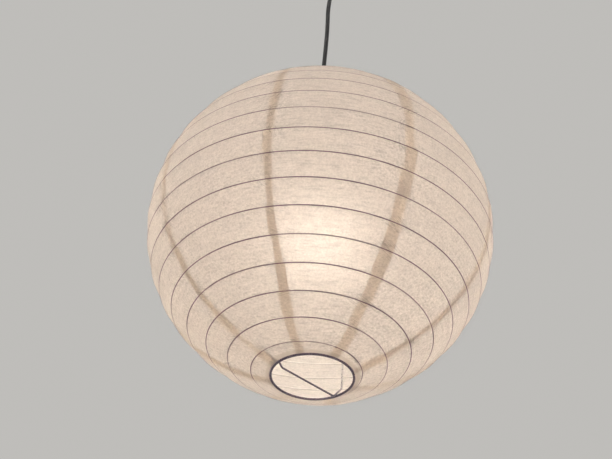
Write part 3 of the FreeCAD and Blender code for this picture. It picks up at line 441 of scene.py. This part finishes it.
def growMesh(name, tree, sizes):
    grown = bpy.data.objects.new(name, bpy.data.meshes.new(name))
    bpy.context.collection.objects.link(grown)
    rule = grown.modifiers.new("rule", "NODES")
    rule.node_group = tree
    for item in tree.interface.items_tree:
        if item.in_out == "INPUT":
            rule[item.identifier] = float(sizes[item.name])
    bpy.context.view_layer.update()
    ready = grown.evaluated_get(bpy.context.evaluated_depsgraph_get())
    mesh = bpy.data.meshes.new_from_object(ready)
    grown.modifiers.clear()
    grown.data = mesh
    mesh.name = name
    mesh.shade_smooth()
    return grown


spiralSizes = {
    "Turns": shade["turns"], "End Latitude": shade["endLatitude"], "Lift": shade["lift"],
    "Spread": shade["spread"], "Edge Latitude": math.acos(shade["edgeRadius"] / shade["equator"]),
    "Equator": shade["equator"], "Half Height": shade["halfHeight"], "Mouth Reach": shade["mouthReach"],
    "Seam Azimuth": shade["seamAzimuth"], "Middle X": shade["middle"][0], "Middle Y": shade["middle"][1],
    "Middle Z": shade["middle"][2],
}


def ribLatitude(tree, given, turn):  # from turn 0 at the top mouth to the last turn at the bottom
    step = maths(tree, "MULTIPLY_ADD", maths(tree, "DIVIDE", turn, given["Turns"]), -2.0, 1.0)
    bulge = maths(tree, "SUBTRACT", 1.0, maths(tree, "MULTIPLY", step, step))
    even = maths(tree, "MULTIPLY", given["End Latitude"], step)
    wide = maths(tree, "MULTIPLY_ADD", bulge, given["Spread"], 1.0)
    return maths(tree, "MULTIPLY_ADD", even, wide, maths(tree, "MULTIPLY", given["Lift"], bulge))


def onShade(tree, given, latitude, turn, depth):  # a point that deep under the paper's outer face
    sine, cosine = maths(tree, "SINE", latitude), maths(tree, "COSINE", latitude)
    mouth = maths(tree, "POWER", maths(tree, "ABSOLUTE", sine), shade["mouthPower"])
    drawn = maths(tree, "MULTIPLY", given["Mouth Reach"], mouth)
    radius = maths(tree, "MULTIPLY", given["Equator"], cosine)
    height = maths(tree, "MULTIPLY", maths(tree, "ADD", given["Half Height"], drawn), sine)
    # the meridian's direction there, and the depth at right angles to it
    fall = maths(tree, "MULTIPLY", maths(tree, "MULTIPLY", given["Equator"], sine), -1.0)
    rise = maths(tree, "MULTIPLY_ADD", drawn, shade["mouthPower"] + 1, given["Half Height"])
    rise = maths(tree, "MULTIPLY", rise, cosine)
    length = maths(tree, "MULTIPLY_ADD", fall, fall, maths(tree, "MULTIPLY", rise, rise))
    deep = maths(tree, "DIVIDE", depth, maths(tree, "SQRT", length))
    across = maths(tree, "SUBTRACT", radius, maths(tree, "MULTIPLY", deep, rise))
    up = maths(tree, "MULTIPLY_ADD", deep, fall, height)
    azimuth = maths(tree, "MULTIPLY_ADD", turn, 2 * math.pi, given["Seam Azimuth"])
    x = maths(tree, "MULTIPLY_ADD", across, maths(tree, "COSINE", azimuth), given["Middle X"])
    y = maths(tree, "MULTIPLY_ADD", across, maths(tree, "SINE", azimuth), given["Middle Y"])
    return triple(tree, x, y, maths(tree, "ADD", up, given["Middle Z"]))


def ribTree(sizes):
    look = ribLook
    tree, given = newTree("spiralRib", sizes)
    count = shade["turns"] * look["pointsPerTurn"] + 1
    line = addNode(tree, "GeometryNodeCurvePrimitiveLine").outputs[0]
    line = addNode(tree, "GeometryNodeResampleCurve", {"Curve": line, "Count": count}).outputs[0]
    index = addNode(tree, "GeometryNodeInputIndex").outputs[0]
    turn = maths(tree, "MULTIPLY", maths(tree, "DIVIDE", index, float(count - 1)), given["Turns"])
    path = moved(tree, line, onShade(tree, given, ribLatitude(tree, given, turn), turn, given["Depth"]))
    ring = addNode(tree, "GeometryNodeCurvePrimitiveCircle", {
        "Resolution": look["sides"], "Radius": given["Wire Radius"]}).outputs[0]
    tube = addNode(tree, "GeometryNodeCurveToMesh", {
        "Curve": path, "Profile Curve": ring, "Fill Caps": True}).outputs[0]
    here = addNode(tree, "GeometryNodeInputPosition").outputs[0]
    skin = addNode(tree, "GeometryNodeInputNormal").outputs[0]
    middle = triple(tree, *(given["Middle " + axis] for axis in "XYZ"))
    outward = addNode(tree, "ShaderNodeVectorMath", {0: here, 1: middle}, operation="SUBTRACT").outputs[0]
    outward = addNode(tree, "ShaderNodeVectorMath", {0: outward}, operation="NORMALIZE").outputs[0]
    faced = addNode(tree, "ShaderNodeVectorMath", {0: outward, 1: skin}, operation="DOT_PRODUCT")
    # painted shade on the wire's side that faces the paper, kept for its material
    tube = store(tree, tube, "paperSideShade", ramp(tree, faced.outputs["Value"], *look["pasted"]))
    addNode(tree, "NodeGroupOutput", {0: painted(tree, tube, "ribWire")})
    return tree


def makeRib():
    sizes = {**spiralSizes, "Wire Radius": ribLook["radius"], "Depth": ribLook["depth"]}
    rib = growMesh("spiral_rib", ribTree(sizes), sizes)
    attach(rib, "pendant")
    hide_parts("rib_spiral")


goreLook = {
    "count": 8,
    "columns": (8, 2, 36, 8),  # raised lap, joggle, open paper, covered lap
    "perBand": 8,
    "thickness": 0.00015,
    "glueLine": 0.00005,
    "joggle": 0.0015,
    "laps": (0.012, 0.012, 0.013, 0.011, 0.011, 0.0145, 0.012, 0.013),  # width of the lap at each seam
    "clear": 0.0006,  # between the joggle and the edge that lies under it
    "sag": 0.0012,
    "wrinkle": 0.0009,
    "wrinkleFolds": (11.0, 0.7, 4.0),  # of a noise: fineness round and along the shade, detail
    "pucker": 0.0016,
    "puckerFolds": (26.0, 2.4, 2.0),
    "puckerReach": 0.02,  # from a seam
    "foldRough": 0.55,
    "ragged": 0.0022,
    "raggedStep": 1.1,  # of the noise, for each band
    "jog": 0.0058,
    "loose": (0.3, 0.9),  # range of chance in which a band creases on its lap
    "looseFrom": (0.45, 0.9),  # how far down the band that begins
    "drawn": (0.35, 0.6),  # range of chance in which folds are drawn to a rib beside a lap
    "drawnReach": (0.02, 0.16, 1.0, 0.0),  # by the squared distance from the rib, in bands
    "hem": 0.0055,
    "hemFolds": (14.0, 0.0, 2.0),
    "hemRipple": 0.002,
    "hemEdge": (0.93, 1.07, 1.0, 0.0),
    "hemRadius": 0.23,  # turns latitude into length near the mouths
    "seeds": {"nearEdge": 3.0, "farEdge": 9.0, "loose": 5.0, "drawn": 7.0},
    "bandStart": 0.02,  # so that a rib's own row counts to the band below it in spite of rounding
    "lapStart": 0.001,  # the same for the first column of the covered lap
    "inLap": 0.01,  # share of that lap from which a face is pasted paper
    "flat": (0.192, 0.655),
    "area": 0.0823,
}


def goreSizes(n):
    look = goreLook
    return {**spiralSizes, "Gore": n, "Gores": look["count"], "Near Lap": look["laps"][n],
            "Far Lap": look["laps"][(n + 1) % look["count"]], "Joggle": look["joggle"],
            "Layer": look["thickness"] + look["glueLine"], "Sag": look["sag"], "Wrinkle": look["wrinkle"],
            "Pucker": look["pucker"], "Ragged": look["ragged"], "Jog": look["jog"], "Hem": look["hem"]}


def goreTree():
    look, seeds = goreLook, goreLook["seeds"]
    bands = shade["turns"] + 1
    tree, given = newTree("paperGore", goreSizes(0))
    gore, gores, edgeLatitude = given["Gore"], given["Gores"], given["Edge Latitude"]
    across = sum(look["columns"])
    grid = addNode(tree, "GeometryNodeMeshGrid", {
        "Size X": 1.0, "Size Y": 1.0, "Vertices X": across + 1,
        "Vertices Y": bands * look["perBand"] + 1}).outputs[0]
    spot = apart(tree, addNode(tree, "GeometryNodeInputPosition").outputs[0])
    over = maths(tree, "ADD", spot["X"], 0.5)
    down = maths(tree, "SUBTRACT", 0.5, spot["Y"])
    down = maths(tree, "MULTIPLY", down, float(bands))  # 0 at the top edge, 1 at the first rib
    topShare = maths(tree, "SUBTRACT", 1.0, down, clamp=True)
    lowShare = maths(tree, "SUBTRACT", down, float(bands - 1), clamp=True)
    ribLine = addNode(tree, "ShaderNodeClamp", {
        "Value": down, "Min": 1.0, "Max": float(bands - 1)}).outputs[0]

    def latitude(turn):
        rib = ribLatitude(tree, given, maths(tree, "ADD", maths(tree, "SUBTRACT", ribLine, 1.0), turn))
        toTop = maths(tree, "MULTIPLY", topShare, maths(tree, "SUBTRACT", edgeLatitude, rib))
        toLow = maths(tree, "MULTIPLY", lowShare, maths(tree, "ADD", edgeLatitude, rib))
        return maths(tree, "SUBTRACT", maths(tree, "ADD", rib, toTop), toLow), rib

    first = maths(tree, "DIVIDE", gore, gores)
    last = maths(tree, "DIVIDE", maths(tree, "ADD", gore, 1.0), gores)
    halfway = maths(tree, "MULTIPLY", maths(tree, "ADD", first, last), 0.5)
    girth = maths(tree, "MULTIPLY", given["Equator"], 2 * math.pi)
    around = maths(tree, "MULTIPLY", maths(tree, "COSINE", latitude(halfway)[0]), girth)

    def turns(length):
        return maths(tree, "DIVIDE", length, around)

    def half(lap, more):
        return maths(tree, "MULTIPLY_ADD", lap, 0.5, more)

    def wholeBand(band):
        return maths(tree, "FLOOR", maths(tree, "ADD", band, look["bandStart"]))

    def cutEdge(seed, sheet, band):  # it wanders along its length and steps aside at each rib
        run = maths(tree, "MULTIPLY", band, look["raggedStep"])
        wander = maths(tree, "SUBTRACT", noise(tree, triple(tree, run, sheet, seed), 1.0), 0.5)
        aside = maths(tree, "SUBTRACT", scatter(tree, triple(tree, wholeBand(band), sheet, seed)), 0.5)
        wander = maths(tree, "MULTIPLY", wander, given["Ragged"])
        return maths(tree, "MULTIPLY_ADD", aside, given["Jog"], wander)

    # five lines down the gore, in turns round the shade, and the grid's columns spread between them
    wide = maths(tree, "MULTIPLY_ADD", maths(tree, "ADD", given["Ragged"], given["Jog"]), 0.5, look["clear"])
    nextGore = maths(tree, "MODULO", maths(tree, "ADD", gore, 1.0), gores)
    pastLast = maths(tree, "LESS_THAN", nextGore, 0.5)
    nextBand = maths(tree, "ADD", down, pastLast)  # past the last gore lies the next turn
    nearEdge = cutEdge(seeds["nearEdge"], gore, down)
    farEdge = cutEdge(seeds["farEdge"], gore, down)
    coverEdge = cutEdge(seeds["nearEdge"], nextGore, nextBand)
    left = maths(tree, "SUBTRACT", first, turns(half(given["Near Lap"], nearEdge)))
    brow = maths(tree, "ADD", first, turns(half(given["Near Lap"], wide)))
    foot = maths(tree, "ADD", brow, turns(given["Joggle"]))
    end = maths(tree, "ADD", last, turns(half(given["Far Lap"], farEdge)))
    cover = maths(tree, "SUBTRACT", last, turns(half(given["Far Lap"], coverEdge)))
    lines = (left, brow, foot, cover, end)
    steps = [sum(look["columns"][:n]) / across for n in range(len(lines))]
    turn = left
    for n in range(len(lines) - 1):
        share = ramp(tree, over, steps[n], steps[n + 1])
        turn = maths(tree, "MULTIPLY_ADD", share, maths(tree, "SUBTRACT", lines[n + 1], lines[n]), turn)
    raised = maths(tree, "MULTIPLY", ramp(tree, over, steps[1], steps[2], -1.0, 0.0), given["Layer"])
    lapShare = ramp(tree, over, steps[3], steps[4])
    pasted = maths(tree, "GREATER_THAN", over, steps[3] - look["lapStart"])
    high, rib = latitude(turn)

    # the paper's slack between two ribs; the first and last band are narrower towards one side
    pace = maths(tree, "DIVIDE", maths(tree, "MULTIPLY", given["End Latitude"], 2.0), given["Turns"])
    width = 1.0
    for share, kind in ((topShare, "SUBTRACT"), (lowShare, "ADD")):
        less = maths(tree, "DIVIDE", maths(tree, kind, edgeLatitude, rib), pace)
        less = maths(tree, "SUBTRACT", less, 1.0)
        width = maths(tree, "MULTIPLY_ADD", maths(tree, "GREATER_THAN", share, 0.0), less, width)
    part = maths(tree, "FRACT", down)
    arch = maths(tree, "MULTIPLY", part, maths(tree, "SUBTRACT", 1.0, part))
    arch = maths(tree, "MULTIPLY", maths(tree, "MULTIPLY", arch, 4.0), maths(tree, "MULTIPLY", width, width))
    angle = maths(tree, "MULTIPLY", turn, 2 * math.pi)
    climb = maths(tree, "ADD", down, turn)

    def folds(fine, along, detail):  # creases in one field all round, so that both sheets of a lap share them
        x, y = (maths(tree, "MULTIPLY", maths(tree, kind, angle), fine) for kind in ("COSINE", "SINE"))
        field = triple(tree, x, y, maths(tree, "MULTIPLY", climb, along))
        return maths(tree, "SUBTRACT", noise(tree, field, 1.0, detail, look["foldRough"]), 0.5)

    gaps = (maths(tree, "ABSOLUTE", maths(tree, "SUBTRACT", turn, seam)) for seam in (first, last))
    gap = maths(tree, "MULTIPLY", maths(tree, "MINIMUM", *gaps), around)
    gap = maths(tree, "DIVIDE", gap, look["puckerReach"])
    close = maths(tree, "EXPONENT", maths(tree, "MULTIPLY", maths(tree, "MULTIPLY", gap, gap), -1.0))
    pinch = maths(tree, "MULTIPLY", close, given["Pucker"])
    pinch = maths(tree, "MULTIPLY", pinch, maths(tree, "SQRT", arch))
    slack = maths(tree, "MULTIPLY_ADD", folds(*look["wrinkleFolds"]), given["Wrinkle"], given["Sag"])
    depth = maths(tree, "MULTIPLY_ADD", arch, slack, raised)
    depth = maths(tree, "MULTIPLY_ADD", pinch, folds(*look["puckerFolds"]), depth)
    place = onShade(tree, given, high, turn, depth)

    # what the paper's material reads, stored while the grid is still flat
    length = maths(tree, "MULTIPLY", climb, ribLook["pitch"])
    flat = triple(tree, maths(tree, "MULTIPLY", turn, around), length, gore)
    loose = ramp(tree, scatter(tree, triple(tree, wholeBand(down), gore, seeds["loose"])), *look["loose"])
    tucked = maths(tree, "MULTIPLY", pasted, loose)
    tucked = maths(tree, "MULTIPLY", tucked, ramp(tree, part, *look["looseFrom"]))
    near = maths(tree, "ROUND", down)
    drawn = ramp(tree, scatter(tree, triple(tree, near, gore, seeds["drawn"])), *look["drawn"])
    toRib = maths(tree, "SUBTRACT", down, near)
    toRib = maths(tree, "MULTIPLY", toRib, toRib)
    pulled = maths(tree, "MULTIPLY", close, drawn)
    pulled = maths(tree, "MULTIPLY", pulled, ramp(tree, toRib, *look["drawnReach"]))
    toEdge = maths(tree, "SUBTRACT", edgeLatitude, maths(tree, "ABSOLUTE", high))
    toEdge = maths(tree, "MULTIPLY", toEdge, look["hemRadius"])
    ripple = maths(tree, "MULTIPLY_ADD", folds(*look["hemFolds"]), look["hemRipple"], toEdge)
    hemmed = ramp(tree, maths(tree, "DIVIDE", ripple, given["Hem"]), *look["hemEdge"])
    sheet = store(tree, grid, "cutPlace", flat, "FLOAT_VECTOR")
    shares = {"tucked": tucked, "hemmed": hemmed, "lapShare": lapShare, "ribStep": down, "pulled": pulled}
    for label, value in shares.items():
        sheet = store(tree, sheet, label, value)
    sheet = painted(tree, moved(tree, sheet, place), "shadePaper")
    strip = addNode(tree, "GeometryNodeInputNamedAttribute", {"Name": "lapShare"}, data_type="FLOAT")
    strip = maths(tree, "GREATER_THAN", strip.outputs[0], look["inLap"])
    sheet = painted(tree, sheet, "pastedPaper", strip)
    addNode(tree, "NodeGroupOutput", {0: sheet})
    return tree


def makeGores():
    look = goreLook
    tree = goreTree()
    for n in range(look["count"]):
        gore = growMesh("paper_gore_%d" % (n + 1), tree, goreSizes(n))
        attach(gore, "pendant")
        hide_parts("paper_panel_%d" % (n + 1))


makeRib()
makeGores()
print("shade made")


# Cord, one run from the holder's cap to the swivel ball, with the slow bends of a flex that was once coiled
cordLook = {
    "diameter": 0.006,
    "bevelSteps": 6,
    "low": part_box("pendant_cord")[0][2],
    "high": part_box("pendant_cord")[1][2],
    "inCap": 0.012,
    "inBall": 0.003,  # the end stops at the middle of the ball, so that it can tilt there
    "bends": ((0, -0.38), (-0.0088, -0.25), (-0.0066, -0.19), (-0.0054, -0.14), (-0.0064, -0.095),
              (0, -0.045)),  # X and Z
    "fitting": ("swivel_ball", "swivel_bracket", "bracket_screws", "rose_base", "rose_cover",
                "terminal_block", "terminal_screws"),
}


def makeCord():
    look = cordLook
    data = bpy.data.curves.new("pendant_flex", "CURVE")
    data.dimensions = "3D"
    data.bevel_depth = look["diameter"] / 2
    data.bevel_resolution = look["bevelSteps"]
    data.use_fill_caps = True
    run = data.splines.new("NURBS")
    top = look["high"] - look["inBall"]
    route = [(0, 0, look["low"])] + [(x, 0, z) for x, z in look["bends"]] + [(0, 0, top)]
    run.points.add(len(route) - 1)
    for point, place in zip(run.points, route):
        point.co = (*place, 1)
    run.order_u = 3
    run.use_endpoint_u = True
    data.materials.append(finishes["darkCord"])
    cord = bpy.data.objects.new("pendant_flex", data)
    bpy.context.collection.objects.link(cord)
    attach(cord, "pendant")
    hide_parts("pendant_cord")


makeCord()
print("cord made")

# Solids that stay as they are get their finish
solidFinishes = {
    "whiteShell": ("rose_base", "rose_cover"),
    "zincSteel": ("swivel_bracket", "bracket_screws"),
    "greyBlock": ("terminal_block",),
    "plainBrass": ("terminal_screws", "holder_terminals", "centre_contact", "screw_shell", "bulb_tip"),
    "blackShell": ("swivel_ball", "holder_cap", "grip_screw", "holder_body", "clamp_ring", "bulb_insulator"),
    "whiteGlaze": ("holder_insert",),
    "steelWire": ("holder_carrier", "top_ring", "bottom_ring"),
    "legWire": ("stretcher_wire",),
    "opalGlass": ("bulb_globe",),
    "nickelCap": ("bulb_cap",),
}
for finish, labels in solidFinishes.items():
    for label in labels:
        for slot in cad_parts[label].material_slots:
            slot.material = finishes[finish]
print("solids finished")

# Studio: pale floor far below, even light from all round, two soft lamps for the shade and two narrow ones
# for the ceiling fitting
studio = {
    "floor": -4.2,
    "floorRadius": 40,
    "floorSides": 128,
    "floorColours": ((0.70, 0.69, 0.67, 1), (0.74, 0.73, 0.71, 1)),
    "floorTone": (0.6, 2.0),
    "floorRoughness": 0.85,
    "floorShown": 0.75,  # how much of the backdrop's own tone the floor takes on in the picture
    "ambient": 0.26,
    "ambientColour": (0.94, 0.95, 1.0, 1),
    "backdrop": (0.52, 0.51, 0.49, 1),
    "shadeLamps": (((-2.6, -2.4, 0.9), 1.8, 9.0), ((2.8, -1.6, -2.4), 2.0, 8.5)),  # place, size, watts
    "roseLamps": (((-1.5, -1.7, -0.45), 0.4, 0.4), ((1.7, 1.5, -0.35), 0.4, 0.4)),
    "roseSpread": math.radians(9),
}


def seenRays(tree):
    path = addNode(tree, "ShaderNodeLightPath").outputs
    seen = maths(tree, "MAXIMUM", path["Is Camera Ray"], path["Is Glossy Ray"])
    return maths(tree, "MAXIMUM", seen, path["Is Transmission Ray"])


def makeFloor():
    look = studio
    bpy.ops.mesh.primitive_circle_add(vertices=look["floorSides"], radius=look["floorRadius"],
                                      fill_type="NGON", location=(0, 0, look["floor"]))
    floor = bpy.context.object
    floor.name = "studio_floor"
    material, tree = newMaterial("paleFloor")
    tone = noise(tree, objectCoords(tree), *look["floorTone"])
    colour = blendColour(tree, tone, *look["floorColours"])
    face = principled(tree, {"Base Color": colour, "Roughness": look["floorRoughness"]})
    pale = addNode(tree, "ShaderNodeEmission", {"Color": look["backdrop"], "Strength": 1.0}).outputs[0]
    share = maths(tree, "MULTIPLY", seenRays(tree), look["floorShown"])
    finishMaterial(tree, mixShader(tree, share, face, pale))
    floor.data.materials.append(material)


def makeLight():
    look = studio
    world = bpy.data.worlds.new("studioWorld")
    world.use_nodes = True
    bpy.context.scene.world = world
    tree = world.node_tree
    tree.nodes.clear()
    shines = ((look["ambientColour"], look["ambient"]), (look["backdrop"], 1.0))
    light, plain = (addNode(tree, "ShaderNodeBackground", {"Color": colour, "Strength": strength}).outputs[0]
                    for colour, strength in shines)
    addNode(tree, "ShaderNodeOutputWorld", {"Surface": mixShader(tree, seenRays(tree), light, plain)})
    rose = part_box("rose_cover")
    targets = {"shadeLamps": Vector(shade["middle"]), "roseLamps": (Vector(rose[0]) + Vector(rose[1])) / 2}
    for group, target in targets.items():
        for place, size, power in look[group]:
            data = bpy.data.lights.new("softLamp", "AREA")
            data.size, data.energy = size, power
            if group == "roseLamps":
                data.spread = look["roseSpread"]
            lamp = bpy.data.objects.new(data.name, data)
            bpy.context.collection.objects.link(lamp)
            lamp.location = place
            lamp.rotation_mode = "QUATERNION"
            lamp.rotation_quaternion = (target - Vector(place)).to_track_quat("-Z", "Y")


makeFloor()
makeLight()
bpy.context.scene.view_settings.view_transform = "Standard"
print("studio made")

bpy.context.view_layer.update()
